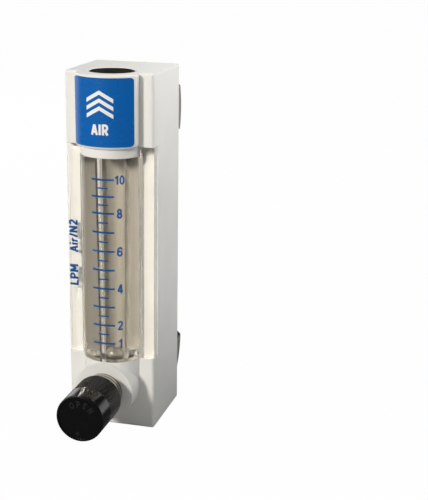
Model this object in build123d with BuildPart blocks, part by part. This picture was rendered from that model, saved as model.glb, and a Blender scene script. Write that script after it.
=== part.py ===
import os
from math import radians, sqrt, tan

from build123d import *

# Air flow meter with a needle valve, for mounting on a panel by its two rear stubs.
# Millimetres. The origin is the centre of the base, the front faces -Y and +Z is up.

# Body
body_width = 30.0
body_depth = 29.0
body_height = 121.0
edge_round = 1.0
top_round = 0.8
base_edge = 0.4

# Window and clear block
window_rise = 10.2
head_height = 23.6
wing_depth = 4.4
wing_play = 0.05
column_radius = 10.5
column_setback = 3.5
column_play = 0.1
column_blend = 0.6
corner_search = 0.01
spigot_radius = 6.6
spigot_length = 4.2
spigot_play = 0.05
bore_low_radius = 3.3
bore_high_radius = 4.0

# Float and its stops
ball_radius = 3.175
ball_rest_rise = 0.1
ball_play = 0.03
stop_radius = 3.7
stop_play = 0.03
stop_bore_radius = 2.2
stop_pin_radius = 0.6
stop_pin_rise = 1.2
stop_pin_play = 0.02
stop_pin_inset = 1.3

# Label pad
pad_radius = 12.4
pad_half_width = 10.2
pad_edge_round = 0.6
label_recess = 0.15
label_thickness = 0.25
label_side_margin = 0.35
label_end_margin = 0.9
label_corner = 1.0
label_play = 0.05

# Top plug and outlet bush
plug_hole_radius = 7.5
plug_hole_depth = 8.0
plug_hole_chamfer = 0.5
plug_sink = 0.1
plug_play = 0.05
plug_edge = 0.4
plug_seal_rise = 2.0
plug_socket_flats = 5.0
plug_socket_depth = 3.0
bush_radius = 6.95
bush_play = 0.05
neck_height = 3.1
neck_play = 0.05
bush_bore_radius = 4.2
bush_crown = 4.0
bush_channel_depth = 1.3
bush_channel_width = 6.0
bush_port_radius = 2.0
bush_seal_drop = 2.5
gasket_thickness = 0.5

# Ports and panel nuts
valve_height = 15.0
outlet_drop = 16.0
stub_radius = 10.0
stub_length = 12.0
stub_chamfer = 0.9
pipe_thread_radius = 5.7
pipe_thread_depth = 11.0
pipe_mouth_chamfer = 0.6
fitting_radius = 7.95
fitting_play = 0.05
fitting_depth = 9.8
fitting_bore_radius = 3.0
fitting_seal_inset = 2.2
nut_flats = 26.0
nut_thickness = 5.5
nut_play = 0.05
nut_corner_bevel = 2.6
nut_bore_chamfer = 0.5
panel_space = 3.8
inlet_nut_turn = 24.0
outlet_nut_turn = 30.0

# Needle valve
boss_radius = 10.0
boss_reach = 8.0
boss_round = 1.2
bonnet_radius = 5.0
bonnet_play = 0.05
bonnet_length = 5.2
bonnet_seal_inset = 1.6
collar_radius = 6.46
collar_length = 4.7
collar_chamfer = 0.4
gland_inset = 2.2
chamber_radius = 3.6
chamber_length = 10.6
seat_length = 4.0
seat_play = 0.03
seat_orifice_radius = 1.2
stem_radius = 2.5
stem_thread_radius = 3.0
stem_play = 0.05
stem_shoulder_gap = 2.2
stem_thread_length = 5.2
stem_seal_inset = 1.1
shank_radius = 1.8
needle_length = 3.4
needle_tip_radius = 0.45
needle_gap = 0.04
inlet_channel_radius = 2.2
riser_radius = 2.8

# Knob
knob_radius = 7.9
knob_length = 17.7
knob_gap = 0.3
knob_rib_length = 10.3
knob_rib_count = 72
knob_rib_depth = 0.3
knob_edge_round = 0.5
knob_rear_chamfer = 0.3
knob_face_rim = 0.8
knob_face_depth = 0.25
knob_bore_depth = 14.0
knob_bore_play = 0.02
stem_end_gap = 0.5
screw_radius = 1.5
screw_play = 0.02
screw_setback = 3.2
screw_sink = 0.6
screw_socket_flats = 1.5
screw_socket_depth = 1.4

# Seal rings: half the thickness of the ring and the room round it
seal_section = 0.65
stem_seal_section = 0.5
seal_play = 0.05

# Places that follow from the sizes
front_y = -body_depth / 2
rear_y = body_depth / 2
tube_y = front_y + column_setback
window_bottom = valve_height + window_rise
window_top = body_height - head_height
window_height = window_top - window_bottom
spigot_bottom = window_bottom - spigot_length
ball_rest_height = window_bottom + ball_rest_rise
stop_top = ball_rest_height - sqrt(ball_radius**2 - stop_bore_radius**2) - ball_play
neck_bottom = window_top - neck_height
column_top = neck_bottom - neck_play
bush_bottom = column_top + gasket_thickness
plug_seat_height = body_height - plug_hole_depth
bush_top = plug_seat_height - bush_play
plug_top = body_height - plug_sink
outlet_height = body_height - outlet_drop
fitting_inner_y = rear_y - fitting_depth
stub_end_y = rear_y + stub_length
nut_front_y = rear_y + panel_space
nut_rear_y = nut_front_y + nut_thickness
nut_corner_radius = nut_flats / sqrt(3)
nut_bevel_rise = nut_corner_bevel * tan(radians(30))
boss_face_y = front_y - boss_reach
collar_front_y = boss_face_y - collar_length
bonnet_rear_y = boss_face_y + bonnet_length
gland_front_y = collar_front_y + gland_inset
seat_front_y = bonnet_rear_y + chamber_length
seat_rear_y = seat_front_y + seat_length
stem_shoulder_y = gland_front_y + stem_shoulder_gap
knob_rear_y = collar_front_y - knob_gap
stem_front_y = knob_rear_y - knob_bore_depth + stem_end_gap
screw_y = knob_rear_y - screw_setback
label_height = head_height - 2 * label_end_margin
label_middle = body_height - head_height / 2
label_floor_radius = pad_radius - label_recess

# Places of the seal rings along their axes
tube_seal_height = window_bottom - spigot_length / 2
bush_seal_height = bush_top - bush_seal_drop
plug_seal_height = plug_seat_height + plug_seal_rise
fitting_seal_y = fitting_inner_y + fitting_seal_inset
bonnet_seal_y = boss_face_y + bonnet_seal_inset
stem_seal_y = stem_shoulder_y + stem_seal_inset

# Width and depth of a groove for a seal ring, the depth doubled because it is centred on the surface
groove_width = 2 * (seal_section + seal_play)
groove_depth = 2 * (2 * seal_section + seal_play)
stem_groove_width = 2 * (stem_seal_section + seal_play)
stem_groove_depth = 2 * (2 * stem_seal_section + seal_play)

# Planes and axes of the tube and of the valve
tube_plane = Plane(origin=(0, tube_y, 0), x_dir=(1, 0, 0), z_dir=(0, 0, 1))
tube_section = Plane(origin=(0, tube_y, 0), x_dir=(1, 0, 0), z_dir=(0, -1, 0))
tube_axis = Axis((0, tube_y, 0), (0, 0, 1))
valve_section = Plane(origin=(0, 0, valve_height), x_dir=(0, 1, 0), z_dir=(1, 0, 0))
valve_axis = Axis((0, 0, valve_height), (0, 1, 0))
knob_plane = Plane(origin=(0, knob_rear_y, valve_height), x_dir=(1, 0, 0), z_dir=(0, -1, 0))

os.makedirs("parts", exist_ok=True)

# Outline of the label, cut off behind by the curved floor of its recess
with BuildPart() as label_pocket:
    with BuildSketch(tube_section):
        with Locations((0, label_middle)):
            RectangleRounded(2 * (pad_half_width - label_side_margin), label_height, label_corner)
    extrude(amount=pad_radius + label_thickness)
    with BuildSketch(tube_plane.offset(window_top)):
        Circle(label_floor_radius)
    extrude(amount=head_height, mode=Mode.SUBTRACT)

# Housing: moulded body with the window recess, the label pad and the valve boss
with BuildPart() as housing:
    with BuildSketch(Plane.XY):
        RectangleRounded(body_width, body_depth, edge_round)
    extrude(amount=body_height)

    # Label pad, concentric with the column and cut square at its sides
    with BuildSketch(tube_plane.offset(window_top)) as pad_outline:
        Circle(pad_radius)
        Rectangle(2 * pad_half_width, 2 * pad_radius, mode=Mode.INTERSECT)
        fillet(pad_outline.vertices().group_by(Axis.Y)[0], radius=pad_edge_round)
    extrude(amount=head_height)
    fillet(housing.faces().sort_by(Axis.Z)[-1].outer_wire().edges(), radius=top_round)
    chamfer(housing.faces().sort_by(Axis.Z)[0].outer_wire().edges(), length=base_edge)

    # Short column under the window, which runs down into the round boss
    with BuildSketch(tube_plane.offset(valve_height)):
        Circle(column_radius)
    extrude(amount=window_bottom - valve_height)
    with BuildSketch(Plane.XZ.offset(-front_y)):
        with Locations((0, valve_height)):
            Circle(boss_radius)
    extrude(amount=boss_reach)
    fillet(housing.faces().sort_by(Axis.Y)[0].outer_wire().edges(), radius=boss_round)

    # Window recess for the wings and the column of the clear block
    with BuildSketch(Plane.XY.offset(window_bottom)):
        with Locations((0, front_y)):
            Rectangle(body_width + 2 * edge_round, 2 * wing_depth)
    extrude(amount=window_height, mode=Mode.SUBTRACT)
    with BuildSketch(tube_plane.offset(window_bottom)):
        Circle(column_radius + column_play)
    extrude(amount=neck_bottom - window_bottom, mode=Mode.SUBTRACT)

    # Round neck of the head, which comes down onto the column between the wings
    with BuildSketch(tube_plane.offset(neck_bottom)):
        Circle(column_radius)
    extrude(amount=neck_height)

    # Bores above the column: bush bore, plug hole and its bevelled mouth
    with BuildSketch(tube_section):
        with BuildLine():
            Polyline(
                (0, neck_bottom),
                (bush_radius + bush_play, neck_bottom),
                (bush_radius + bush_play, plug_seat_height),
                (plug_hole_radius, plug_seat_height),
                (plug_hole_radius, body_height - plug_hole_chamfer),
                (plug_hole_radius + plug_hole_chamfer, body_height),
                (0, body_height),
                close=True,
            )
        make_face()
    revolve(axis=tube_axis, mode=Mode.SUBTRACT)

    # Bores under the window: socket of the spigot and riser from the valve
    with BuildSketch(tube_section):
        with BuildLine():
            Polyline(
                (0, valve_height),
                (riser_radius, valve_height),
                (riser_radius, spigot_bottom - spigot_play),
                (spigot_radius + spigot_play, spigot_bottom - spigot_play),
                (spigot_radius + spigot_play, window_bottom),
                (0, window_bottom),
                close=True,
            )
        make_face()
    revolve(axis=tube_axis, mode=Mode.SUBTRACT)

    # Bores on the valve axis, from the boss through the seat to the socket of the inlet fitting
    with BuildSketch(valve_section):
        with BuildLine():
            Polyline(
                (boss_face_y, 0),
                (boss_face_y, bonnet_radius + bonnet_play),
                (bonnet_rear_y, bonnet_radius + bonnet_play),
                (bonnet_rear_y, chamber_radius),
                (seat_rear_y, chamber_radius),
                (seat_rear_y, inlet_channel_radius),
                (fitting_inner_y, inlet_channel_radius),
                (fitting_inner_y, fitting_radius + fitting_play),
                (rear_y, fitting_radius + fitting_play),
                (rear_y, 0),
                close=True,
            )
        make_face()
    revolve(axis=valve_axis, mode=Mode.SUBTRACT)

    # Socket of the outlet fitting and the channel from the bush
    with BuildSketch(Plane.XZ.offset(-rear_y)):
        with Locations((0, outlet_height)):
            Circle(fitting_radius + fitting_play)
    extrude(amount=fitting_depth, mode=Mode.SUBTRACT)
    with BuildSketch(Plane.XZ.offset(-fitting_inner_y)):
        with Locations((0, outlet_height)):
            Circle(fitting_bore_radius)
    extrude(amount=fitting_inner_y - tube_y, mode=Mode.SUBTRACT)
    add(label_pocket.part, mode=Mode.SUBTRACT)

housing.part.label = "housing"
export_step(housing.part, "parts/housing.step")

# Label plate: curved with the pad, a little proud of it
with BuildPart() as label_plate:
    with BuildSketch(tube_section):
        with Locations((0, label_middle)):
            RectangleRounded(
                2 * (pad_half_width - label_side_margin - label_play),
                label_height - 2 * label_play,
                label_corner,
            )
    extrude(amount=pad_radius + label_thickness)
    with BuildSketch(tube_plane.offset(window_top)):
        Circle(label_floor_radius + label_thickness)
        Circle(label_floor_radius, mode=Mode.SUBTRACT)
    extrude(amount=head_height, mode=Mode.INTERSECT)

label_plate.part.label = "label_plate"
export_step(label_plate.part, "parts/label_plate.step")

# Measuring tube: clear block with two wings, a round column, a spigot and the tapered bore
with BuildPart() as measuring_tube:
    with BuildSketch(Plane.XY.offset(window_bottom + wing_play)) as tube_outline:
        with Locations((0, front_y + (wing_depth - wing_play) / 2)):
            Rectangle(body_width, wing_depth - wing_play)
        fillet(tube_outline.vertices().group_by(Axis.Y)[0], radius=edge_round)
        with Locations((0, tube_y)):
            Circle(column_radius)
        wing_corners = tube_outline.vertices().filter_by_position(
            Axis.Y, front_y - corner_search, front_y + corner_search
        )
        fillet(wing_corners.filter_by_position(Axis.X, -column_radius, column_radius), radius=column_blend)
    extrude(amount=window_height - 2 * wing_play)

    # Room between the wings for the neck of the housing
    with BuildSketch(Plane.XY.offset(column_top)):
        with Locations((0, tube_y)):
            Circle(column_radius + column_play)
        with Locations((0, front_y - column_radius / 2)):
            Rectangle(body_width, column_radius)
    extrude(amount=neck_height + neck_play, mode=Mode.SUBTRACT)
    with BuildSketch(tube_plane.offset(spigot_bottom)):
        Circle(spigot_radius)
    extrude(amount=spigot_length + wing_play)
    with BuildSketch(tube_section):
        with Locations((spigot_radius, tube_seal_height)):
            Rectangle(groove_depth, groove_width)
    revolve(axis=tube_axis, mode=Mode.SUBTRACT)

    # Seat of the stop and tapered bore
    with BuildSketch(tube_section):
        with BuildLine():
            Polyline(
                (0, spigot_bottom),
                (stop_radius, spigot_bottom),
                (stop_radius, stop_top),
                (bore_low_radius, stop_top),
                (bore_high_radius, column_top),
                (0, column_top),
                close=True,
            )
        make_face()
    revolve(axis=tube_axis, mode=Mode.SUBTRACT)

measuring_tube.part.label = "measuring_tube"
export_step(measuring_tube.part, "parts/measuring_tube.step")

# Float ball, at rest on the stop
with BuildPart(tube_plane.offset(ball_rest_height)) as float_ball:
    Sphere(ball_radius)

float_ball.part.label = "float_ball"
export_step(float_ball.part, "parts/float_ball.step")

# Lower stop: ring in the spigot whose bore carries the ball
with BuildPart() as lower_float_stop:
    with BuildSketch(tube_plane.offset(spigot_bottom)):
        Circle(stop_radius - stop_play)
        Circle(stop_bore_radius, mode=Mode.SUBTRACT)
    extrude(amount=stop_top - spigot_bottom)

lower_float_stop.part.label = "lower_float_stop"
export_step(lower_float_stop.part, "parts/lower_float_stop.step")

# Gasket between the column of the clear block and the bush
with BuildPart() as tube_gasket:
    with BuildSketch(tube_plane.offset(column_top)):
        Circle(bush_radius)
        Circle(bush_bore_radius, mode=Mode.SUBTRACT)
    extrude(amount=gasket_thickness)

tube_gasket.part.label = "tube_gasket"
export_step(tube_gasket.part, "parts/tube_gasket.step")

# Outlet bush: joins the tube to the outlet channel and locks the clear block
stop_pin_height = bush_bottom + stop_pin_rise
stop_pin_front_y = tube_y - bush_radius + stop_pin_inset
stop_pin_length = 2 * bush_radius - 2 * stop_pin_inset
stop_pin_plane = Plane(origin=(0, stop_pin_front_y, stop_pin_height), x_dir=(1, 0, 0), z_dir=(0, 1, 0))
with BuildPart() as outlet_bush:
    with BuildSketch(tube_plane.offset(bush_bottom)):
        Circle(bush_radius)
    extrude(amount=bush_top - bush_bottom)
    with BuildSketch(tube_plane.offset(bush_bottom)):
        Circle(bush_bore_radius)
    extrude(amount=bush_top - bush_bottom - bush_crown, mode=Mode.SUBTRACT)
    with BuildSketch(tube_section):
        with Locations((bush_radius, outlet_height)):
            Rectangle(2 * bush_channel_depth, bush_channel_width)
        with Locations((bush_radius, bush_seal_height)):
            Rectangle(groove_depth, groove_width)
    revolve(axis=tube_axis, mode=Mode.SUBTRACT)
    for port_plane in (Plane.XZ.offset(-tube_y), Plane.YZ):
        port_centre = port_plane.to_local_coords(Vector(0, tube_y, outlet_height))
        with BuildSketch(port_plane):
            with Locations((port_centre.X, port_centre.Y)):
                Circle(bush_port_radius)
        extrude(amount=bush_radius, both=True, mode=Mode.SUBTRACT)
    with BuildSketch(stop_pin_plane):
        Circle(stop_pin_radius + stop_pin_play)
    extrude(amount=2 * bush_radius, mode=Mode.SUBTRACT)

outlet_bush.part.label = "outlet_bush"
export_step(outlet_bush.part, "parts/outlet_bush.step")

# Upper stop: pin across the bore of the bush, from a hole at the back
with BuildPart() as upper_float_stop:
    with BuildSketch(stop_pin_plane):
        Circle(stop_pin_radius)
    extrude(amount=stop_pin_length)

upper_float_stop.part.label = "upper_float_stop"
export_step(upper_float_stop.part, "parts/upper_float_stop.step")

# Top plug, level with the top, with a hexagon socket
with BuildPart() as top_plug:
    with BuildSketch(tube_plane.offset(plug_seat_height)):
        Circle(plug_hole_radius - plug_play)
    extrude(amount=plug_top - plug_seat_height)
    chamfer(top_plug.edges().group_by(Axis.Z)[-1], length=plug_edge)
    with BuildSketch(tube_plane.offset(plug_top)):
        RegularPolygon(plug_socket_flats / 2, 6, major_radius=False)
    extrude(amount=-plug_socket_depth, mode=Mode.SUBTRACT)
    with BuildSketch(tube_section):
        with Locations((plug_hole_radius - plug_play, plug_seal_height)):
            Rectangle(groove_depth, groove_width)
    revolve(axis=tube_axis, mode=Mode.SUBTRACT)

top_plug.part.label = "top_plug"
export_step(top_plug.part, "parts/top_plug.step")

# Valve bonnet: collar on the boss, socket body and the gland bore for the stem
with BuildPart() as valve_bonnet:
    with BuildSketch(valve_section):
        with BuildLine():
            Polyline(
                (collar_front_y, stem_radius + stem_play),
                (collar_front_y, collar_radius - collar_chamfer),
                (collar_front_y + collar_chamfer, collar_radius),
                (boss_face_y, collar_radius),
                (boss_face_y, bonnet_radius),
                (bonnet_rear_y, bonnet_radius),
                (bonnet_rear_y, stem_thread_radius + stem_play),
                (gland_front_y, stem_thread_radius + stem_play),
                (gland_front_y, stem_radius + stem_play),
                close=True,
            )
        make_face()
        with Locations((bonnet_seal_y, bonnet_radius)):
            Rectangle(groove_width, groove_depth, mode=Mode.SUBTRACT)
    revolve(axis=valve_axis)

valve_bonnet.part.label = "valve_bonnet"
export_step(valve_bonnet.part, "parts/valve_bonnet.step")

# Valve seat: insert with the orifice that the needle closes
with BuildPart() as valve_seat:
    with BuildSketch(Plane.XZ.offset(-seat_rear_y)):
        with Locations((0, valve_height)):
            Circle(chamber_radius - seat_play)
            Circle(seat_orifice_radius, mode=Mode.SUBTRACT)
    extrude(amount=seat_length)

valve_seat.part.label = "valve_seat"
export_step(valve_seat.part, "parts/valve_seat.step")

# Valve stem: knob end, shoulder, threaded part, shank and tapered needle
with BuildPart() as valve_stem:
    with BuildSketch(valve_section):
        with BuildLine():
            Polyline(
                (stem_front_y, 0),
                (stem_front_y, stem_radius),
                (stem_shoulder_y, stem_radius),
                (stem_shoulder_y, stem_thread_radius),
                (stem_shoulder_y + stem_thread_length, stem_thread_radius),
                (stem_shoulder_y + stem_thread_length, shank_radius),
                (seat_front_y - shank_radius + seat_orifice_radius, shank_radius),
                (seat_front_y, seat_orifice_radius - needle_gap),
                (seat_front_y + needle_length, needle_tip_radius),
                (seat_front_y + needle_length, 0),
                close=True,
            )
        make_face()
        with Locations((stem_seal_y, stem_thread_radius)):
            Rectangle(stem_groove_width, stem_groove_depth, mode=Mode.SUBTRACT)
    revolve(axis=valve_axis)

valve_stem.part.label = "valve_stem"
export_step(valve_stem.part, "parts/valve_stem.step")

# Knob: ribbed grip at the back, smooth band at the front and a sunk face in a thin rim
with BuildPart() as knob:
    with BuildSketch(knob_plane):
        Circle(knob_radius)
    extrude(amount=knob_length)
    fillet(knob.edges().group_by(Axis.Y)[0], radius=knob_edge_round)
    chamfer(knob.edges().group_by(Axis.Y)[-1], length=knob_rear_chamfer)
    with BuildSketch(knob_plane.offset(knob_length)):
        Circle(knob_radius - knob_face_rim)
    extrude(amount=-knob_face_depth, mode=Mode.SUBTRACT)
    with BuildSketch(knob_plane):
        with PolarLocations(knob_radius, knob_rib_count):
            Rectangle(sqrt(2) * knob_rib_depth, sqrt(2) * knob_rib_depth, rotation=45)
    extrude(amount=knob_rib_length, mode=Mode.SUBTRACT)
    with BuildSketch(knob_plane):
        Circle(stem_radius + knob_bore_play)
    extrude(amount=knob_bore_depth, mode=Mode.SUBTRACT)
    with BuildSketch(Plane.XY.offset(valve_height)):
        with Locations((0, screw_y)):
            Circle(screw_radius + screw_play)
    extrude(amount=-knob_radius, mode=Mode.SUBTRACT)

knob.part.label = "knob"
export_step(knob.part, "parts/knob.step")

# Set screw of the knob, from the underside down to the stem
screw_outer_height = valve_height - knob_radius + knob_rib_depth + screw_sink
screw_length = valve_height - stem_radius - knob_bore_play - screw_outer_height
with BuildPart() as knob_screw:
    with BuildSketch(Plane.XY.offset(screw_outer_height)):
        with Locations((0, screw_y)):
            Circle(screw_radius)
    extrude(amount=screw_length)
    with BuildSketch(Plane.XY.offset(screw_outer_height)):
        with Locations((0, screw_y)):
            RegularPolygon(screw_socket_flats / 2, 6, major_radius=False)
    extrude(amount=screw_socket_depth, mode=Mode.SUBTRACT)

knob_screw.part.label = "knob_screw"
export_step(knob_screw.part, "parts/knob_screw.step")

# Inlet and outlet alike: a stub with the pipe thread, its seal ring and its panel nut
for port_name, port_height, nut_turn in (
    ("inlet", valve_height, inlet_nut_turn),
    ("outlet", outlet_height, outlet_nut_turn),
):
    port_section = Plane(origin=(0, 0, port_height), x_dir=(0, 1, 0), z_dir=(1, 0, 0))
    port_axis = Axis((0, 0, port_height), (0, 1, 0))
    port_plane = Plane(origin=(0, 0, port_height), x_dir=(-1, 0, 0), z_dir=(0, 1, 0))

    with BuildPart() as fitting:
        with BuildSketch(port_section):
            with BuildLine():
                Polyline(
                    (fitting_inner_y, fitting_bore_radius),
                    (fitting_inner_y, fitting_radius),
                    (rear_y, fitting_radius),
                    (rear_y, stub_radius),
                    (stub_end_y - stub_chamfer, stub_radius),
                    (stub_end_y, stub_radius - stub_chamfer),
                    (stub_end_y, pipe_thread_radius + pipe_mouth_chamfer),
                    (stub_end_y - pipe_mouth_chamfer, pipe_thread_radius),
                    (stub_end_y - pipe_thread_depth, pipe_thread_radius),
                    (stub_end_y - pipe_thread_depth, fitting_bore_radius),
                    close=True,
                )
            make_face()
            with Locations((fitting_seal_y, fitting_radius)):
                Rectangle(groove_width, groove_depth, mode=Mode.SUBTRACT)
        revolve(axis=port_axis)
    fitting.part.label = f"{port_name}_fitting"
    export_step(fitting.part, f"parts/{port_name}_fitting.step")

    with BuildPart(port_plane.offset(fitting_seal_y)) as fitting_seal:
        Torus(fitting_radius - seal_section, seal_section)
    fitting_seal.part.label = f"{port_name}_seal"
    export_step(fitting_seal.part, f"parts/{port_name}_seal.step")

    # Hexagon with a bored middle and a cone that bevels the corners of its outer face
    with BuildPart() as nut:
        with BuildSketch(port_plane.offset(nut_front_y)):
            RegularPolygon(nut_flats / 2, 6, major_radius=False, rotation=-nut_turn)
            Circle(stub_radius + nut_play, mode=Mode.SUBTRACT)
        extrude(amount=nut_thickness)
        chamfer(nut.edges().filter_by(GeomType.CIRCLE), length=nut_bore_chamfer)
        with BuildSketch(port_section):
            with BuildLine():
                Polyline(
                    (nut_front_y, 0),
                    (nut_front_y, nut_corner_radius),
                    (nut_rear_y - nut_bevel_rise, nut_corner_radius),
                    (nut_rear_y, nut_corner_radius - nut_corner_bevel),
                    (nut_rear_y, 0),
                    close=True,
                )
            make_face()
        revolve(axis=port_axis, mode=Mode.INTERSECT)
    nut.part.label = f"{port_name}_nut"
    export_step(nut.part, f"parts/{port_name}_nut.step")

# The other seal rings: plane of the ring, radius to its middle and half its thickness
seals = {
    "tube_seal": (tube_plane.offset(tube_seal_height), spigot_radius - seal_section, seal_section),
    "bush_seal": (tube_plane.offset(bush_seal_height), bush_radius - seal_section, seal_section),
    "plug_seal": (
        tube_plane.offset(plug_seal_height),
        plug_hole_radius - plug_play - seal_section,
        seal_section,
    ),
    "bonnet_seal": (
        knob_plane.offset(knob_rear_y - bonnet_seal_y),
        bonnet_radius - seal_section,
        seal_section,
    ),
    "stem_seal": (
        knob_plane.offset(knob_rear_y - stem_seal_y),
        stem_thread_radius - stem_seal_section,
        stem_seal_section,
    ),
}
for seal_name, (seal_plane, ring_radius, ring_section) in seals.items():
    with BuildPart(seal_plane) as seal:
        Torus(ring_radius, ring_section)
    seal.part.label = seal_name
    export_step(seal.part, f"parts/{seal_name}.step")
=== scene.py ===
from math import asin, cos, pi, radians, sin

import bmesh
import bpy
import numpy as np
from mathutils import Matrix, Vector


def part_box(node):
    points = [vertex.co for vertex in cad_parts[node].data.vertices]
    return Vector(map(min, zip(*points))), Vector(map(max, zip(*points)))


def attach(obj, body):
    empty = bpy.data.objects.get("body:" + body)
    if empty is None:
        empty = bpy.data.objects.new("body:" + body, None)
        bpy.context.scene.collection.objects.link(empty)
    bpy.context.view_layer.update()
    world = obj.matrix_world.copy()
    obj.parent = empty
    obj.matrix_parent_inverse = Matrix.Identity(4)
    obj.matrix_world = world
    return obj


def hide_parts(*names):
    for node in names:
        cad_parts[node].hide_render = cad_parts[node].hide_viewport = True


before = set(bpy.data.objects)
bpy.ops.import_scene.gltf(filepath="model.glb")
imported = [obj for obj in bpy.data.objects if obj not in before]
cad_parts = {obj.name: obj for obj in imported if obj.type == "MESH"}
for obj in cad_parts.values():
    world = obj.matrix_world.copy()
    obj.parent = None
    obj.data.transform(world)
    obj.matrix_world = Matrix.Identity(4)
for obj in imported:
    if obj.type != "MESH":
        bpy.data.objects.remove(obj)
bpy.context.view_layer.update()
scene = bpy.context.scene
scene.view_settings.view_transform = "Standard"
# a ray that enters the clear block is turned back many times inside it before it leaves
rayTurns = {
    "max_bounces": 32, "transmission_bounces": 32, "glossy_bounces": 16, "transparent_max_bounces": 16,
}
for limit, turns in rayTurns.items():
    setattr(scene.cycles, limit, turns)
mm = 0.001
print("frame loaded")

# places that the pieces below share, in m, all read from the frame
ballLow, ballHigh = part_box("float_ball")
columnY = (ballLow.y + ballHigh.y) / 2  # axis of the clear column
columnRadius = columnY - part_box("measuring_tube")[0].y
labelLow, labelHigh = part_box("label_plate")
labelRadius = columnY - labelLow.y
knobLow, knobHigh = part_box("knob")
knobRadius = (knobHigh.x - knobLow.x) / 2
knobHeight = (knobLow.z + knobHigh.z) / 2
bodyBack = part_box("housing")[1].y
wingFront = -bodyBack


# a socket that takes part in sums and comparisons
class Wire:
    def __init__(self, recipe, socket):
        self.recipe = recipe
        self.socket = socket

    def __add__(self, other):
        return self.recipe.maths("ADD", self, other)

    def __radd__(self, other):
        return self.recipe.maths("ADD", other, self)

    def __sub__(self, other):
        return self.recipe.maths("SUBTRACT", self, other)

    def __rsub__(self, other):
        return self.recipe.maths("SUBTRACT", other, self)

    def __mul__(self, other):
        return self.recipe.maths("MULTIPLY", self, other)

    def __rmul__(self, other):
        return self.recipe.maths("MULTIPLY", other, self)

    def __gt__(self, other):
        return self.recipe.maths("GREATER_THAN", self, other)

    def __lt__(self, other):
        return self.recipe.maths("LESS_THAN", self, other)

    def __or__(self, other):
        return self.recipe.maths("MAXIMUM", self, other)


# most of a cloud lies between these two values
cloudRange = (0.3, 0.7)


# the node tree of a material or of the world, filled one node at a time
class Recipe:
    def __init__(self, owner):
        owner.use_nodes = True
        self.tree = owner.node_tree
        self.tree.nodes.clear()

    def node(self, kind, settings=None, sockets=None, output=0):
        made = self.tree.nodes.new(kind)
        for name, value in (settings or {}).items():
            setattr(made, name, value)
        for name, value in (sockets or {}).items():
            if isinstance(value, Wire):
                self.tree.links.new(value.socket, made.inputs[name])
            else:
                made.inputs[name].default_value = value
        return Wire(self, made.outputs[output]) if made.outputs else made

    def maths(self, operation, *parts):
        return self.node("ShaderNodeMath", {"operation": operation}, dict(enumerate(parts)))

    def place(self):
        return self.node("ShaderNodeTexCoord", output="Object")

    # one coordinate of a vector, 0 to 2 for x to z
    def part(self, vector, axis):
        return self.node("ShaderNodeSeparateXYZ", {}, {0: vector}, output=axis)

    # one coordinate of the place, in mm
    def along(self, axis):
        return self.part(self.place(), axis) * (1 / mm)

    # soft noise from 0 to 1; size is that of its patches in mm, one for all ways or one each for x,
    # y and z, and layers is how many finer noises lie over it
    def cloud(self, size, layers=2.0):
        sides = size if isinstance(size, tuple) else (size,) * 3
        stretch = tuple(1 / (mm * side) for side in sides)
        spread = self.node("ShaderNodeMapping", {}, {"Vector": self.place(), "Scale": stretch})
        return self.node("ShaderNodeTexNoise", {}, {"Vector": spread, "Scale": 1.0, "Detail": layers})

    # goes from newLow to newHigh as the value goes from low to high, and no further
    def spread(self, value, low, high, newLow, newHigh):
        sockets = {"Value": value, "From Min": low, "From Max": high, "To Min": newLow, "To Max": newHigh}
        return self.node("ShaderNodeMapRange", {}, sockets)

    # goes from the first value to the second one over the usual range of a cloud
    def vary(self, cloud, first, second):
        return self.spread(cloud, *cloudRange, first, second)

    # sockets 6 and 7 of the mix node take the two colours, and its output 2 gives the mixed one
    def tint(self, factor, first, second):
        first, second = (part if isinstance(part, Wire) else (*part, 1.0) for part in (first, second))
        sockets = {0: factor, 6: first, 7: second}
        return self.node("ShaderNodeMix", {"data_type": "RGBA"}, sockets, output=2)

    def bump(self, height, depth):
        return self.node("ShaderNodeBump", {}, {"Height": height, "Distance": depth * mm, "Strength": 1.0})

    # one fact about the ray that meets this surface
    def ray(self, fact):
        return self.node("ShaderNodeLightPath", output=fact)

    def glow(self, colour):
        return self.node("ShaderNodeEmission", {}, {"Color": (*colour, 1.0), "Strength": 1.0})

    def blend(self, factor, first, second):
        return self.node("ShaderNodeMixShader", {}, {0: factor, 1: first, 2: second})

    # the plain surface, but what the mirror shows for mirrored rays and what the clear block shows
    # for rays through it; a ray through it that comes from a matt surface meets the shade, because
    # the lamps and the room shine straight through the block as well
    def surroundings(self, plain, mirror, through, shade):
        direct = self.ray("Diffuse Depth") < 1
        mirrored = self.blend(self.ray("Is Glossy Ray") * direct, plain, mirror)
        return self.blend(self.ray("Is Transmission Ray"), mirrored, self.blend(direct, shade, through))

    def close(self, surface):
        self.node("ShaderNodeOutputMaterial", {}, {"Surface": surface})


def newRecipe(name):
    material = bpy.data.materials.new(name)
    return material, Recipe(material)


# a colour that is darker by a share of itself
def faded(colour, share):
    return tuple(part * (1 - share) for part in colour)


# plastic: a faint cloud in the colour and the gloss, and a fine moulded grain; one with a hollow gets
# painted shade there, a darker colour where little light gets in
def plastic(name, look):
    material, recipe = newRecipe(name)
    cloud = recipe.cloud(look["cloud"], layers=3.0)
    grain = recipe.cloud(look["grain"])
    colour = recipe.tint(recipe.vary(cloud, 0, 1), look["colour"], faded(look["colour"], look["fade"]))
    # painted shade: the wall of the hollow behind the clear column is darker, where little light gets in
    if "hollow" in look:
        colour = recipe.tint(hollow(recipe, look["hollow"]), colour, look["hollow"]["colour"])
    surface = recipe.node("ShaderNodeBsdfPrincipled", {}, {
        "Base Color": colour,
        "Roughness": recipe.vary(cloud, *look["gloss"]),
        "Specular IOR Level": look["shine"],
        "Normal": recipe.bump(grain, look["depth"]),
    })
    recipe.close(surface)
    return material
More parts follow.
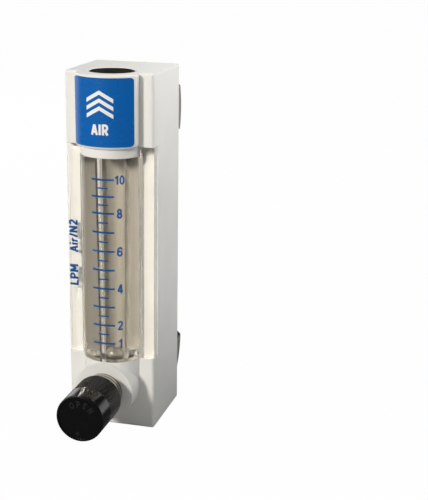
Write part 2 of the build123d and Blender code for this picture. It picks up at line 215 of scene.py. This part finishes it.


# 1 where painted shade goes in the hollow behind the clear column: between two heights in mm, and
# nearer to the column's axis than its radius and a little play
def hollow(recipe, look):
    across, away, up = (recipe.along(axis) for axis in range(3))
    away = away - columnY / mm
    reach = columnRadius / mm + look["play"]
    return (across * across + away * away < reach**2) * (up > look["low"]) * (up < look["high"])


# size in mm of the patches in the colour of a metal
metalCloud = 6


# turned or plated metal: patches in the colour, and streaks in the gloss and the surface, which make
# rings round the y axis where they are thin along it
def metal(name, look):
    material, recipe = newRecipe(name)
    streak = recipe.cloud(look["streak"])
    cloud = recipe.cloud(metalCloud, layers=3.0)
    colour = recipe.tint(recipe.vary(cloud, 0, 1), look["colour"], faded(look["colour"], look["fade"]))
    surface = recipe.node("ShaderNodeBsdfPrincipled", {}, {
        "Base Color": colour,
        "Metallic": 1.0,
        "Roughness": recipe.vary(streak, *look["gloss"]),
        "Normal": recipe.bump(streak, look["depth"]),
    })
    recipe.close(surface)
    return material


whiteBody = plastic("whiteBody", {
    "colour": (0.84, 0.825, 0.785), "fade": 0.03, "cloud": 14, "grain": 0.35, "depth": 0.004,
    "gloss": (0.34, 0.44), "shine": 0.45,
    # painted shade: a darker colour on the wall of the hollow behind the clear column, where little light
    # gets in
    "hollow": {"colour": (0.4, 0.37, 0.31), "play": 0.3, "low": 25.15, "high": 94.35},
})
whiteBush = plastic("whiteBush", {
    "colour": (0.88, 0.87, 0.84), "fade": 0.04, "cloud": 5, "grain": 0.3, "depth": 0.003,
    "gloss": (0.3, 0.4), "shine": 0.5,
})
bluePlate = plastic("bluePlate", {
    "colour": (0.0, 0.116, 0.43), "fade": 0.03, "cloud": 8, "grain": 0.6, "depth": 0.0005,
    "gloss": (0.24, 0.3), "shine": 0.5,
})
whitePrint = plastic("whitePrint", {
    "colour": (0.88, 0.88, 0.87), "fade": 0.03, "cloud": 3, "grain": 0.4, "depth": 0.001,
    "gloss": (0.3, 0.36), "shine": 0.5,
})
bluePrint = plastic("bluePrint", {
    "colour": (0.0, 0.088, 0.31), "fade": 0.1, "cloud": 1.5, "grain": 0.3, "depth": 0.001,
    "gloss": (0.35, 0.45), "shine": 0.3,
})
blackPlug = plastic("blackPlug", {
    "colour": (0.028, 0.026, 0.021), "fade": 0.3, "cloud": 4, "grain": 0.4, "depth": 0.003,
    "gloss": (0.24, 0.3), "shine": 0.0,
})
sealRubber = plastic("sealRubber", {
    "colour": (0.02, 0.02, 0.02), "fade": 0.2, "cloud": 3, "grain": 0.3, "depth": 0.003,
    "gloss": (0.5, 0.62), "shine": 0.4,
})
steelBall = metal("steelBall", {
    "colour": (0.72, 0.71, 0.68), "fade": 0.04, "streak": (4, 4, 4), "gloss": (0.15, 0.2), "depth": 0.0,
})
stainless = metal("stainless", {
    "colour": (0.62, 0.61, 0.58), "fade": 0.06, "streak": (8, 0.3, 8), "gloss": (0.18, 0.3), "depth": 0.003,
})
nickelPlate = metal("nickelPlate", {
    "colour": (0.66, 0.64, 0.58), "fade": 0.06, "streak": (8, 0.35, 8), "gloss": (0.14, 0.24),
    "depth": 0.002,
})
turnedBrass = metal("turnedBrass", {
    "colour": (0.7, 0.5, 0.22), "fade": 0.08, "streak": (8, 0.3, 8), "gloss": (0.2, 0.32), "depth": 0.003,
})
darkSteel = metal("darkSteel", {
    "colour": (0.2, 0.175, 0.155), "fade": 0.5, "streak": (2.5, 0.25, 2.5), "gloss": (0.26, 0.4),
    "depth": 0.004,
})
paleSeal = plastic("paleSeal", {
    "colour": (0.5, 0.48, 0.43), "fade": 0.06, "cloud": 3, "grain": 0.3, "depth": 0.002,
    "gloss": (0.5, 0.6), "shine": 0.4,
})
knobLetters = plastic("knobLetters", {
    "colour": (0.016, 0.016, 0.016), "fade": 0.2, "cloud": 2, "grain": 0.2, "depth": 0.004,
    "gloss": (0.4, 0.46), "shine": 0.5,
})
print("plain materials ready")


# turned collar: plated metal with a groove once in each pitch along the valve's axis, painted dark
# as shade in the groove; the cut is the groove's share of the pitch
collarLook = {
    # the groove colour is painted shade: near black, standing for the shadow down in each groove
    "colour": (0.56, 0.53, 0.47), "groove": (0.03, 0.028, 0.025), "pitch": 1.55, "cut": 0.28,
    "depth": 0.12, "streak": (8, 0.3, 8), "gloss": (0.12, 0.2),
}


def collarMetal():
    material, recipe = newRecipe("collarMetal")
    away = recipe.along(1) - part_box("valve_bonnet")[0].y / mm
    groove = recipe.maths("FRACT", away * (1 / collarLook["pitch"])) > 1 - collarLook["cut"]
    streak = recipe.cloud(collarLook["streak"])
    surface = recipe.node("ShaderNodeBsdfPrincipled", {}, {
        # painted shade in the grooves of the collar
        "Base Color": recipe.tint(groove, collarLook["colour"], collarLook["groove"]),
        "Metallic": 1.0,
        "Roughness": recipe.vary(streak, *collarLook["gloss"]),
        "Normal": recipe.bump(1 - groove, collarLook["depth"]),
    })
    recipe.close(surface)
    return material


# knob plastic: satin face, polished band, and duller ribs behind it with paler crests
knobLook = {
    "colour": (0.003, 0.003, 0.003), "pale": (0.0045, 0.0045, 0.0045), "cloud": 3,
    "crest": (0.007, 0.007, 0.007), "crestDepth": 0.08, "bandBack": 10.4, "faceDepth": 0.6,
    "ribGloss": 0.3, "bandGloss": 0.06, "faceGloss": 0.24, "glossPlay": 0.05, "grain": 0.25, "depth": 0.006,
}


def knobPlastic():
    material, recipe = newRecipe("knobPlastic")
    across, depth, up = (recipe.along(axis) for axis in range(3))
    up = up - knobHeight / mm
    ribs = depth > knobHigh.y / mm - knobLook["bandBack"]
    face = depth < knobLow.y / mm + knobLook["faceDepth"]
    crest = ribs * (across * across + up * up > (knobRadius / mm - knobLook["crestDepth"]) ** 2)
    cloud = recipe.cloud(knobLook["cloud"])
    colour = recipe.tint(cloud, knobLook["colour"], knobLook["pale"])
    gloss = (
        knobLook["bandGloss"]
        + ribs * (knobLook["ribGloss"] - knobLook["bandGloss"])
        + face * (knobLook["faceGloss"] - knobLook["bandGloss"])
        + cloud * knobLook["glossPlay"]
    )
    surface = recipe.node("ShaderNodeBsdfPrincipled", {}, {
        "Base Color": recipe.tint(crest, colour, knobLook["crest"]),
        "Roughness": gloss,
        "Normal": recipe.bump(recipe.cloud(knobLook["grain"]) * (ribs | face), knobLook["depth"]),
    })
    recipe.close(surface)
    return material


# clear plastic of the block; the lamps shine straight through it
clearLook = {
    "colour": (0.99, 0.985, 0.97), "bend": 1.49, "cloud": (5, 5, 20), "gloss": (0.015, 0.03),
    "lampColour": (0.985, 0.98, 0.97),
}


def clearPlastic():
    material, recipe = newRecipe("clearPlastic")
    cloud = recipe.cloud(clearLook["cloud"])
    glass = recipe.node("ShaderNodeBsdfPrincipled", {}, {
        "Base Color": (*clearLook["colour"], 1.0),
        "Roughness": recipe.vary(cloud, *clearLook["gloss"]),
        "IOR": clearLook["bend"],
        "Transmission Weight": 1.0,
    })
    through = recipe.node("ShaderNodeBsdfTransparent", {}, {"Color": (*clearLook["lampColour"], 1.0)})
    recipe.close(recipe.blend(recipe.ray("Is Shadow Ray"), glass, through))
    return material


blackKnob = knobPlastic()
clearBlock = clearPlastic()
collar = collarMetal()

nodeMaterials = {
    "housing": whiteBody,
    "measuring_tube": clearBlock,
    "float_ball": steelBall,
    "label_plate": bluePlate,
    "lower_float_stop": stainless,
    "upper_float_stop": stainless,
    "tube_gasket": whiteBush,
    "outlet_bush": whiteBush,
    "top_plug": blackPlug,
    "valve_bonnet": collar,
    "tube_seal": paleSeal,
    "valve_seat": turnedBrass,
    "valve_stem": stainless,
    "knob": blackKnob,
    "knob_screw": darkSteel,
    "inlet_fitting": nickelPlate,
    "outlet_fitting": nickelPlate,
    "inlet_nut": darkSteel,
    "outlet_nut": darkSteel,
}
for nodeName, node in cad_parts.items():
    for materialSlot in node.material_slots:
        materialSlot.material = nodeMaterials.get(nodeName, sealRubber)
print("frame nodes dressed")


# hangs a finished mesh on a body of the frame
def addPiece(name, mesh, material, body):
    mesh.materials.clear()
    mesh.materials.append(material)
    piece = bpy.data.objects.new(name, mesh)
    scene.collection.objects.link(piece)
    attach(piece, body)
    return piece


# mesh from grids of points (rows, columns, 3), each closed round its columns; the first ones are
# capped at both ends by one face, the rings are closed round their rows too
def gridMesh(name, grids, rings=()):
    points, faces, start = [], [], 0
    for number, grid in enumerate([*grids, *rings]):
        ring = number >= len(grids)
        rows, columns = grid.shape[:2]
        index = start + np.arange(rows * columns).reshape(rows, columns)
        nextColumn = np.roll(index, -1, axis=1)
        here = index if ring else index[:-1]
        above = np.roll(index, -1, axis=0) if ring else index[1:]
        side = np.roll(nextColumn, -1, axis=0) if ring else nextColumn[1:]
        quads = np.stack([here, nextColumn[: len(here)], side, above], axis=-1).reshape(-1, 4)
        faces += quads.tolist()
        if not ring:
            faces += [index[0][::-1].tolist(), index[-1].tolist()]
        points.append(grid.reshape(-1, 3))
        start += rows * columns
    mesh = bpy.data.meshes.new(name)
    mesh.from_pydata(np.concatenate(points).tolist(), [], faces)
    tidyNormals(mesh)
    return mesh


# turns the faces outwards
def tidyNormals(mesh):
    shape = bmesh.new()
    shape.from_mesh(mesh)
    bmesh.ops.recalc_face_normals(shape, faces=shape.faces)
    shape.to_mesh(mesh)
    shape.free()


# degrees of an arc from one point to the next
arcStep = 15


# points of an arc: the middle plus the radii times the cosine and the sine of the angle
def arc(middle, radii, start, stop):
    angles = np.radians(np.linspace(start, stop, 2 + round(abs(stop - start) / arcStep)))
    return [(middle[0] + radii[0] * cos(angle), middle[1] + radii[1] * sin(angle)) for angle in angles]


# strokes that several letters share
post = [(0.09, 0), (0.09, 1)]
bowl = [(0.09, 0.92), *arc((0.28, 0.68), (0.2, 0.24), 90, -90), (0.09, 0.44)]
# letters for a cap height of 1: the width of each, and the middle lines of its strokes
glyphs = {
    "0": (0.56, [arc((0.28, 0.5), (0.2, 0.42), 0, 360)]),
    "1": (0.43, [[(0.34, 0), (0.34, 1)], [(0.32, 0.9), (0.24, 0.79), (0.08, 0.74)]]),
    "2": (0.56, [[*arc((0.28, 0.7), (0.19, 0.22), 165, -30), (0.1, 0.12)], [(0.03, 0.08), (0.53, 0.08)]]),
    "4": (0.6, [[(0.4, 0), (0.4, 1)], [(0.37, 0.93), (0.08, 0.34)], [(0.03, 0.29), (0.57, 0.29)]]),
    "6": (0.56, [arc((0.28, 0.31), (0.2, 0.23), 0, 360), arc((0.31, 0.45), (0.23, 0.47), 197, 35)]),
    "8": (0.56, [arc((0.28, 0.72), (0.165, 0.2), 0, 360), arc((0.28, 0.29), (0.2, 0.21), 0, 360)]),
    "A": (0.62, [[(0.06, 0), (0.3, 0.97)], [(0.32, 0.97), (0.56, 0)], [(0.15, 0.3), (0.47, 0.3)]]),
    "E": (0.52, [[(0.48, 0.92), (0.09, 0.92), (0.09, 0.08), (0.5, 0.08)], [(0.09, 0.5), (0.45, 0.5)]]),
    "I": (0.18, [post]),
    "L": (0.5, [[(0.09, 1), (0.09, 0.08), (0.5, 0.08)]]),
    "M": (0.74, [post, [(0.65, 0), (0.65, 1)], [(0.12, 0.95), (0.37, 0.22)], [(0.62, 0.95), (0.37, 0.22)]]),
    "N": (0.64, [post, [(0.55, 0), (0.55, 1)], [(0.12, 0.93), (0.52, 0.07)]]),
    "O": (0.74, [arc((0.37, 0.5), (0.28, 0.42), 0, 360)]),
    "P": (0.56, [post, bowl]),
    "R": (0.58, [post, bowl, [(0.28, 0.44), (0.51, 0)]]),
    "i": (0.18, [[(0.09, 0), (0.09, 0.7)], [(0.09, 0.84), (0.09, 1)]]),
    "r": (0.38, [[(0.09, 0), (0.09, 0.7)], arc((0.31, 0.38), (0.22, 0.24), 175, 75)]),
    "/": (0.34, [[(0.05, 0), (0.29, 1)]]),
}
# shares of the cap height: the longest step along a stroke and the gap between letters; layer is the
# step outwards in mm from one stroke to the next, and mitre the least cosine that widens a corner
strokeLook = {"step": 0.12, "gap": 0.13, "layer": 0.004, "mitre": 0.7}


# a stroke as a flat ribbon: each point moves to both sides along the mean of the normals of the
# two lines that meet there, by half the weight divided by the cosine of half their angle
def ribbon(stroke, weight, thickness):
    corners = np.array(stroke)
    path = [corners[:1]]
    for start, stop in zip(corners[:-1], corners[1:]):
        parts = int(np.hypot(*(stop - start)) / strokeLook["step"]) + 1
        path.append(start + (stop - start) * np.arange(1, parts + 1)[:, None] / parts)
    path = np.concatenate(path)
    ring = np.allclose(path[0], path[-1])
    path = path[:-1] if ring else path
    ahead = np.roll(path, -1, axis=0) - path
    behind = np.roll(ahead, 1, axis=0)
    if not ring:
        ahead[-1], behind[0] = behind[-1], ahead[0]
    ahead, behind = (line / np.hypot(*line.T)[:, None] for line in (ahead, behind))
    mean = ahead + behind
    mean = mean / np.hypot(*mean.T)[:, None]
    half = weight / 2 / np.maximum((mean * ahead).sum(axis=1), strokeLook["mitre"])
    side = np.stack([-mean[:, 1], mean[:, 0]], axis=-1) * half[:, None]
    section = [(path - side, 0), (path - side, thickness), (path + side, thickness), (path + side, 0)]
    grid = np.stack([np.insert(flat, 2, out, axis=1) for flat, out in section], axis=1)
    return grid, ring


# flat letters in mm, centred on x and y, with their thickness outwards; each stroke of a letter
# lies a layer higher than the one before, so that no two faces meet
def letters(words, capHeight, thickness, weight):
    ribbons, rings, pen = [], [], 0.0
    for letter in words:
        width, strokes = glyphs[letter]
        for layer, stroke in enumerate(strokes):
            grid, ring = ribbon(stroke, weight, thickness / capHeight)
            grid = grid + np.array([pen, 0, layer * strokeLook["layer"] / capHeight])
            (rings if ring else ribbons).append(grid * capHeight)
        pen += width + strokeLook["gap"]
    mesh = gridMesh("letters", ribbons, rings)
    points = readPoints(mesh)
    middle = (points.min(axis=0) + points.max(axis=0)) / 2
    writePoints(mesh, points - np.array([middle[0], middle[1], 0]))
    return mesh


# a mesh's points as an array of rows, and back into the mesh
def readPoints(mesh):
    points = np.empty(len(mesh.vertices) * 3)
    mesh.vertices.foreach_get("co", points)
    return points.reshape(-1, 3)


def writePoints(mesh, points):
    mesh.vertices.foreach_set("co", points.reshape(-1))
    mesh.update()


# bends flat points in mm (across, up, out) round the column's axis: the angle is the distance
# across divided by the radius, and out is added to the radius
def bendRound(points, radius, acrossShift, height):
    reach = radius + points[:, 2] * mm
    angle = asin(acrossShift * mm / radius) + points[:, 0] * mm / radius
    return np.stack([
        reach * np.sin(angle),
        columnY - reach * np.cos(angle),
        height + points[:, 1] * mm,
    ], axis=-1)


# puts several meshes into one
def joinMeshes(name, meshes):
    shape = bmesh.new()
    for mesh in meshes:
        shape.from_mesh(mesh)
    joined = bpy.data.meshes.new(name)
    shape.to_mesh(joined)
    shape.free()
    return joined


# scale on the front of the column, in mm: a line for each half litre, longer at each whole one; above
# bendAt the litres lie closer, and the highest figure is smaller because it has two digits
scaleLook = {
    "lowest": 1, "highest": 10, "lowestHeight": 31.9, "perLitre": 6.36, "bendAt": 8, "perLitreAbove": 5.53,
    "longLine": (-3.82, 3.68), "shortLine": (-1.92, 1.74), "longWeight": 0.62, "shortWeight": 0.48,
    "figures": (1, 2, 4, 6, 8, 10), "figureHeight": 3.2, "figureAcross": 5.25, "figureWeight": 0.19,
    "tenHeight": 2.95, "tenAcross": 5.4, "lift": 0.02, "thickness": 0.03, "segments": 24,
}


# height of a flow's line: a fixed rise for each litre, and a smaller one for each above bendAt
def scaleHeight(litres):
    straight = min(litres, scaleLook["bendAt"]) - scaleLook["lowest"]
    above = max(litres - scaleLook["bendAt"], 0)
    return scaleLook["lowestHeight"] + straight * scaleLook["perLitre"] + above * scaleLook["perLitreAbove"]


# one line: a small oblong section carried along an arc of the column
def scaleLine(height, ends, weight):
    inner = columnRadius + scaleLook["lift"] * mm
    outer = inner + scaleLook["thickness"] * mm
    start, stop = (asin(end * mm / columnRadius) for end in ends)
    angle = np.linspace(start, stop, scaleLook["segments"])[:, None]
    reach = np.array([inner, outer, outer, inner])[None, :]
    rise = np.array([-weight, -weight, weight, weight])[None, :] * mm / 2
    return np.stack([
        reach * np.sin(angle),
        columnY - reach * np.cos(angle),
        height * mm + rise + 0 * angle,
    ], axis=-1)


def makeScale():
    lines = []
    for half in range(2 * scaleLook["lowest"], 2 * scaleLook["highest"] + 1):
        whole = half % 2 == 0
        ends = scaleLook["longLine"] if whole else scaleLook["shortLine"]
        weight = scaleLook["longWeight"] if whole else scaleLook["shortWeight"]
        lines.append(scaleLine(scaleHeight(half / 2), ends, weight))
    addPiece("scale_lines", gridMesh("scaleLines", lines), bluePrint, "meter")
    figures = []
    for figure in scaleLook["figures"]:
        highest = figure == scaleLook["highest"]
        high = scaleLook["tenHeight"] if highest else scaleLook["figureHeight"]
        across = scaleLook["tenAcross"] if highest else scaleLook["figureAcross"]
        mesh = letters(str(figure), high, scaleLook["thickness"], scaleLook["figureWeight"])
        radius = columnRadius + scaleLook["lift"] * mm
        writePoints(mesh, bendRound(readPoints(mesh), radius, across, scaleHeight(figure) * mm))
        figures.append(mesh)
    addPiece("scale_figures", joinMeshes("scaleFigures", figures), bluePrint, "meter")


makeScale()
print("scale printed on the column")


# the two legends on the left wing, read from the bottom up: each with the height of its middle and
# its length in mm
legendLook = {
    "across": -12.9, "height": 2.9, "lift": 0.02, "thickness": 0.03, "weight": 0.22,
    "words": (("LPM", 52.6, 7.3), ("Air/N2", 66.1, 11.2)),
}


def makeLegends():
    meshes = []
    for words, middle, length in legendLook["words"]:
        mesh = letters(words, legendLook["height"], legendLook["thickness"], legendLook["weight"])
        flat = readPoints(mesh)
        along = flat[:, 0] * length / (flat[:, 0].max() - flat[:, 0].min())
        placed = np.stack([
            (legendLook["across"] - flat[:, 1]) * mm,
            wingFront - (legendLook["lift"] + flat[:, 2]) * mm,
            (middle + along) * mm,
        ], axis=-1)
        writePoints(mesh, placed)
        meshes.append(mesh)
    addPiece("legend_print", joinMeshes("legendPrint", meshes), bluePrint, "meter")


makeLegends()
print("legends printed on the wing")


# plain print of the label, in mm: the word AIR under three arrowheads that point up with the flow
labelLook = {
    "word": "AIR", "wordHeight": 3.4, "wordUp": -5.3, "weight": 0.22,
    "arrows": 3, "arrowWidth": 9.0, "arrowRise": 2.6, "arrowWeight": 1.3, "arrowPitch": 2.45,
    "arrowUp": -1.1, "lift": 0.01, "thickness": 0.02, "segments": 13,
}


# an arrowhead: height falls by the rise from the middle to each end, with an even weight
def arrowhead(up):
    half = labelLook["arrowWidth"] / 2
    across = np.linspace(-half, half, 2 * labelLook["segments"] + 1)[:, None]
    crest = up + labelLook["arrowRise"] * (1 - np.abs(across) / half)
    section = np.array([-0.5, -0.5, 0.5, 0.5])[None, :] * labelLook["arrowWeight"]
    out = np.array([0.0, 1.0, 1.0, 0.0])[None, :] * labelLook["thickness"]
    flat = np.stack([across + 0 * section, crest + section, out + 0 * across], axis=-1)
    middle = (labelLow.z + labelHigh.z) / 2
    bent = bendRound(flat.reshape(-1, 3), labelRadius + labelLook["lift"] * mm, 0, middle)
    return bent.reshape(flat.shape)


def makeLabelPrint():
    middle = (labelLow.z + labelHigh.z) / 2
    word = letters(labelLook["word"], labelLook["wordHeight"], labelLook["thickness"], labelLook["weight"])
    radius = labelRadius + labelLook["lift"] * mm
    writePoints(word, bendRound(readPoints(word), radius, 0, middle + labelLook["wordUp"] * mm))
    heights = [labelLook["arrowUp"] + labelLook["arrowPitch"] * row for row in range(labelLook["arrows"])]
    arrows = gridMesh("labelArrows", [arrowhead(up) for up in heights])
    addPiece("label_print", joinMeshes("labelPrint", [word, arrows]), whitePrint, "meter")


makeLabelPrint()
print("label printed")


# raised word on the knob's face, and a small arrowhead at the bottom of it, in mm and degrees; floor
# is how deep the face is sunk, and sink how deep the letters stand in it
faceLook = {
    "word": "OPEN", "firstAngle": 121, "step": 27, "reach": 4.9, "height": 2.1, "weight": 0.2,
    "floor": 0.25, "sink": 0.02, "thickness": 0.2,
    "arrowAngle": 262, "arrowReach": 5.3, "arrowSize": 0.9,
}


# turns flat points in mm by an angle and sets them on the sunk face, at a reach from its middle
def placeOnFace(points, angle, reach):
    turned = radians(angle - 90)
    across = points[:, 0] * cos(turned) - points[:, 1] * sin(turned) + reach * cos(radians(angle))
    up = points[:, 0] * sin(turned) + points[:, 1] * cos(turned) + reach * sin(radians(angle))
    out = knobLow.y + (faceLook["floor"] + faceLook["sink"] - points[:, 2]) * mm
    return np.stack([across * mm, out, knobHeight + up * mm], axis=-1)


def makeKnobWord():
    meshes = []
    for place, letter in enumerate(faceLook["word"]):
        mesh = letters(letter, faceLook["height"], faceLook["thickness"], faceLook["weight"])
        angle = faceLook["firstAngle"] - place * faceLook["step"]
        writePoints(mesh, placeOnFace(readPoints(mesh), angle, faceLook["reach"]))
        meshes.append(mesh)
    corner = np.arange(3) * 2 * pi / 3  # angles of the arrowhead's three corners
    outline = np.stack([np.cos(corner), np.sin(corner), 0 * corner], axis=-1) * faceLook["arrowSize"]
    prism = np.stack([outline, outline + np.array([0, 0, faceLook["thickness"]])])
    placed = placeOnFace(prism.reshape(-1, 3), faceLook["arrowAngle"], faceLook["arrowReach"])
    meshes.append(gridMesh("knobArrow", [placed.reshape(prism.shape)]))
    addPiece("knob_word", joinMeshes("knobWord", meshes), knobLetters, "spindle")


makeKnobWord()
print("word raised on the knob")


# stubs with their threads, in mm: the outer one carries the panel nut, the inner one takes the pipe
fittingLook = {
    "socketRadius": 7.95, "boreRadius": 3.0, "pipeRadius": 5.7, "pipeDepth": 11.0, "mouthBevel": 0.6,
    "endBevel": 0.9, "grooveMiddle": 2.2, "grooveWidth": 1.4, "grooveFloor": 6.6,
    "outerPitch": 1.5, "outerDepth": 0.8, "pipePitch": 1.337, "pipeThread": 0.65, "crestFlat": 0.14,
    "samples": 8, "columns": 80,
}


# the closed outline of a stub's wall in mm: the distance along its axis, the radius, and whether the
# point lies on the outer thread and on the pipe thread
def fittingOutline(inner, end, flange, outside):
    look = fittingLook
    groove = inner + look["grooveMiddle"]
    outerSteps = round((end - flange) / look["outerPitch"] * look["samples"])
    pipeSteps = round(look["pipeDepth"] / look["pipePitch"] * look["samples"])
    outerRun = np.linspace(flange, end - look["endBevel"], outerSteps)
    pipeRun = np.linspace(end - look["mouthBevel"], end - look["pipeDepth"], pipeSteps)
    return np.concatenate([
        [(inner, look["boreRadius"], 0, 0), (inner, look["socketRadius"], 0, 0)],
        [(groove - look["grooveWidth"] / 2, look["socketRadius"], 0, 0)],
        [(groove - look["grooveWidth"] / 2, look["grooveFloor"], 0, 0)],
        [(groove + look["grooveWidth"] / 2, look["grooveFloor"], 0, 0)],
        [(groove + look["grooveWidth"] / 2, look["socketRadius"], 0, 0)],
        [(flange, look["socketRadius"], 0, 0)],
        [(along, outside, 1, 0) for along in outerRun],
        [(end, outside - look["endBevel"], 0, 0)],
        [(end, look["pipeRadius"] + look["mouthBevel"], 0, 0)],
        [(along, look["pipeRadius"], 0, 1) for along in pipeRun],
        [(end - look["pipeDepth"], look["boreRadius"], 0, 0)],
    ])


# one stub: its outline turned round the port's axis, where a thread moves the radius in a flat-topped
# wave of the distance along the axis less the turn
def makeFitting(name):
    low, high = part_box(name)
    look = fittingLook
    height = (low.z + high.z) / 2
    flange = bodyBack / mm
    outline = fittingOutline(low.y / mm, high.y / mm, flange, (high.x - low.x) / 2 / mm)
    along, radius, outer, pipe = (outline[:, [part]] for part in range(4))
    turn = np.linspace(0, 1, look["columns"], endpoint=False)[None, :]
    outerCut = cutWave(along / look["outerPitch"] - turn) * look["outerDepth"] * outer
    pipeCut = cutWave(along / look["pipePitch"] - turn) * look["pipeThread"] * pipe
    fadeIn = np.clip((along - flange) / look["outerPitch"], 0, 1)
    reach = radius - outerCut * fadeIn + pipeCut
    ring = np.stack([
        reach * np.cos(2 * pi * turn) * mm,
        (along + 0 * turn) * mm,
        height + reach * np.sin(2 * pi * turn) * mm,
    ], axis=-1)
    mesh = gridMesh(name, [], [ring])
    mesh.polygons.foreach_set("use_smooth", [False] * len(mesh.polygons))
    piece = addPiece(name + "_threaded", mesh, nickelPlate, "meter")
    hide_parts(name)


# 0 at a thread's crest and 1 at its root, each flat over the same share of the pitch
def cutWave(turns):
    valley = 1 - np.abs(2 * (turns % 1) - 1)
    flat = fittingLook["crestFlat"]
    return np.clip((valley - flat) / (1 - 2 * flat), 0, 1)


for fittingName in ("inlet_fitting", "outlet_fitting"):
    makeFitting(fittingName)
print("threads cut on the stubs")


# colours of the surroundings: what the camera sees, what shines on the meter, what its gloss mirrors
# in front and above, what shows through the clear block from the front and the sides, and the shade
# that light from a matt surface meets beyond the block
roomLook = {
    "seen": (1.0, 1.0, 1.0), "soft": (0.28, 0.29, 0.3), "mirrored": (0.06, 0.06, 0.06),
    "through": (0.4, 0.365, 0.305), "shade": (0.1, 0.1, 0.1),
}
# floor in mm: all but plain white for the camera, so that it takes a trace of the meter's shadow; in
# the gloss and the clear block it goes from white behind the meter to the room's colours in front
floorLook = {
    "size": 6000, "drop": 0.05, "colour": (0.5, 0.5, 0.5), "fade": 0.015, "grain": 30, "white": 0.985,
    "front": (120, 20),
}


def makeFloor():
    half = floorLook["size"] / 2 * mm
    level = -floorLook["drop"] * mm
    corners = [(-half, -half, level), (half, -half, level), (half, half, level), (-half, half, level)]
    mesh = bpy.data.meshes.new("floor")
    mesh.from_pydata(corners, [], [(0, 1, 2, 3)])
    material, recipe = newRecipe("floorWhite")
    grain = recipe.cloud(floorLook["grain"])
    colour = recipe.tint(grain, floorLook["colour"], faded(floorLook["colour"], floorLook["fade"]))
    plain = recipe.node("ShaderNodeBsdfDiffuse", {}, {"Color": colour})
    white, mirror, through = (recipe.glow(roomLook[part]) for part in ("seen", "mirrored", "through"))
    front = recipe.spread(recipe.along(1), *floorLook["front"], 0, 1)
    mirror, through = (recipe.blend(front, white, part) for part in (mirror, through))
    lit = recipe.surroundings(plain, mirror, through, plain)
    recipe.close(recipe.blend(recipe.ray("Is Camera Ray") * floorLook["white"], lit, white))
    mesh.materials.append(material)
    floor = bpy.data.objects.new("floor", mesh)
    scene.collection.objects.link(floor)


makeFloor()
print("floor laid")


# where the room is white: the parts of a ray's direction, back, up and to the right, at which white
# begins and at which it is full
worldLook = {
    "mirrorBehind": (0.1, 0.4), "mirrorLow": (0.25, 0.1), "mirrorLeft": (-0.45, -0.85),
    "throughBehind": (0.1, 0.4),
}


# the room is white for the camera; in the gloss of the meter it is dark but for what is low behind
# it and on its left, and the clear block shows white only from behind
def lightRoom():
    world = bpy.data.worlds.new("room")
    scene.world = world
    recipe = Recipe(world)
    white, soft, mirror, through, shade = (
        recipe.node("ShaderNodeBackground", {}, {"Color": (*roomLook[part], 1.0), "Strength": 1.0})
        for part in ("seen", "soft", "mirrored", "through", "shade")
    )
    towards = recipe.node("ShaderNodeTexCoord", output="Generated")
    right, back, up = (recipe.part(towards, axis) for axis in range(3))
    low = recipe.spread(up, *worldLook["mirrorLow"], 0, 1)
    lowBehind = low * recipe.spread(back, *worldLook["mirrorBehind"], 0, 1)
    left = recipe.spread(right, *worldLook["mirrorLeft"], 0, 1)
    mirror = recipe.blend(lowBehind | left, mirror, white)
    through = recipe.blend(recipe.spread(back, *worldLook["throughBehind"], 0, 1), through, white)
    lit = recipe.surroundings(soft, mirror, through, shade)
    sky = recipe.blend(recipe.ray("Is Camera Ray"), lit, white)
    recipe.node("ShaderNodeOutputWorld", {}, {"Surface": sky})


lightRoom()


# square lamps in front, beside and behind, in m; only the gloss box shows in the gloss of the meter
softBoxes = {
    "keyBox": {
        "place": (-0.28, -0.72, 0.36), "aim": (0, 0, 0.06), "size": 0.12, "watts": 2.5,
        "colour": (1, 0.965, 0.9), "mirrored": False,
    },
    "glossBox": {
        "place": (-0.28, -0.72, 0.34), "aim": (0, 0, 0.06), "size": 0.1, "watts": 2.0,
        "colour": (1, 0.97, 0.92), "mirrored": True,
    },
    "sideBox": {
        "place": (0.1, 0.02, 0.2), "aim": (0.015, 0, 0.13), "size": 0.08, "watts": 0.14,
        "colour": (1, 1, 1), "mirrored": False,
    },
    "backBox": {
        "place": (-0.55, 0.5, 0.25), "aim": (0, 0, 0.06), "size": 0.4, "watts": 3.4,
        "colour": (1, 1, 1), "mirrored": False,
    },
}


def hangSoftBoxes():
    for name, box in softBoxes.items():
        lamp = bpy.data.lights.new(name, "AREA")
        lamp.size = box["size"]
        lamp.energy = box["watts"]
        lamp.color = box["colour"]
        holder = bpy.data.objects.new(name, lamp)
        scene.collection.objects.link(holder)
        holder.visible_camera = False
        holder.visible_glossy = box["mirrored"]
        holder.visible_transmission = False
        turn = (Vector(box["aim"]) - Vector(box["place"])).to_track_quat("-Z", "Y")
        holder.matrix_world = Matrix.Translation(box["place"]) @ turn.to_matrix().to_4x4()


hangSoftBoxes()
print("room lit")


# camera: its place in m, the directions of its right, up and back, its lens and sensor in mm, and the
# least distance in m that it sees
cameraLook = {
    "place": (0.121956, -0.353342, 0.167253), "right": (0.96761, 0.25194, 0.01525),
    "up": (-0.08464, 0.26698, 0.95997), "back": (0.23779, -0.93018, 0.27966),
    "lens": 81.36, "sensor": 36.0, "nearest": 0.01,
}


def setCamera():
    lens = bpy.data.cameras.new("camera")
    lens.lens = cameraLook["lens"]
    lens.sensor_width = cameraLook["sensor"]
    lens.clip_start = cameraLook["nearest"]
    holder = bpy.data.objects.new("camera", lens)
    scene.collection.objects.link(holder)
    turn = Matrix([cameraLook["right"], cameraLook["up"], cameraLook["back"]]).transposed()
    holder.matrix_world = Matrix.Translation(cameraLook["place"]) @ turn.to_4x4()
    scene.camera = holder


setCamera()
print("camera set")
